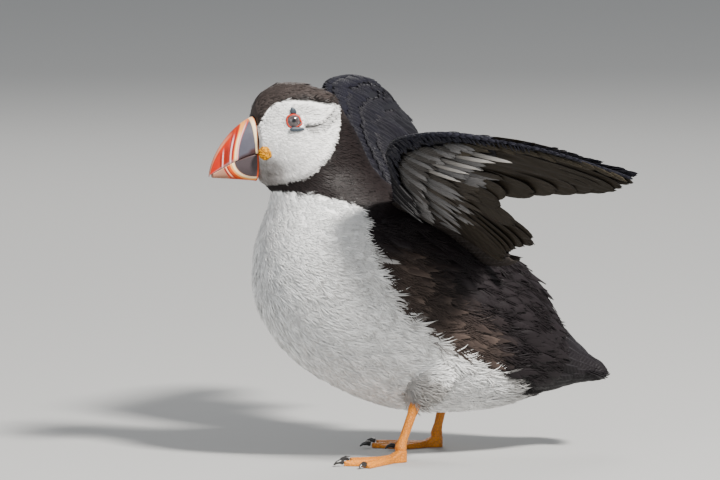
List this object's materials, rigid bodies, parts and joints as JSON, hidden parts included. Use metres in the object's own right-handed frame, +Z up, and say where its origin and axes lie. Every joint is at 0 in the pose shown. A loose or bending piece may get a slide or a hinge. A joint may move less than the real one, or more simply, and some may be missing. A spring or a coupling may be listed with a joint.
{
  "type": "atlantic puffin",
  "caption": "Atlantic puffin standing with both wings raised, head in profile: a still, life-size bird with webbed feet flat on the floor.",
  "frame": {"origin": "centre of the whole bird's bounding box in plan, on the floor under its feet", "axes": "-X is where the bill points, -Y is the bird's left wing, +Z up"},
  "size_m": [0.2438, 0.405, 0.2147],
  "materials": {
    "head_plumage": "white face, brown-grey cap, soft feathers",
    "black_plumage": "dark brown-black collar and nape, soft feathers",
    "body_plumage": "white breast and belly, black back, brown flanks",
    "rump_plumage": "black above, white under the tail",
    "tail_feathers": "black, slightly glossy vanes",
    "bill_horn": "grooved horn: red-orange, cream and slate blue, satin",
    "eye": "wet, glossy; grey-brown iris, black pupil",
    "eye_plate": "slate-grey horny plates, satin",
    "gape_rosette": "yellow-orange wrinkled skin",
    "wing_feathers": "blue-black above, olive-brown and silver grey below",
    "thigh_plumage": "dusky grey-brown soft feathers",
    "leg_skin": "orange scaled skin, satin",
    "claw": "black horn, glossy"
  },
  "bodies": {
    "root": {"head": "head_plumage", "neck": "black_plumage", "trunk": "body_plumage", "rump": "rump_plumage", "tail": "tail_feathers", "bill_upper": "bill_horn", "bill_lower": "bill_horn", "eye_left": "eye", "eye_plate_upper_left": "eye_plate", "eye_plate_lower_left": "eye_plate", "rosette_left": "gape_rosette", "wing_arm_left": "wing_feathers", "wing_forearm_left": "wing_feathers", "wing_hand_left": "wing_feathers", "thigh_left": "thigh_plumage", "tarsus_left": "leg_skin", "foot_left": "leg_skin", "claw_inner_left": "claw", "claw_middle_left": "claw", "claw_outer_left": "claw", "eye_right": "eye", "eye_plate_upper_right": "eye_plate", "eye_plate_lower_right": "eye_plate", "rosette_right": "gape_rosette", "wing_arm_right": "wing_feathers", "wing_forearm_right": "wing_feathers", "wing_hand_right": "wing_feathers", "thigh_right": "thigh_plumage", "tarsus_right": "leg_skin", "foot_right": "leg_skin", "claw_inner_right": "claw", "claw_middle_right": "claw", "claw_outer_right": "claw"}
  },
  "joints": []
}
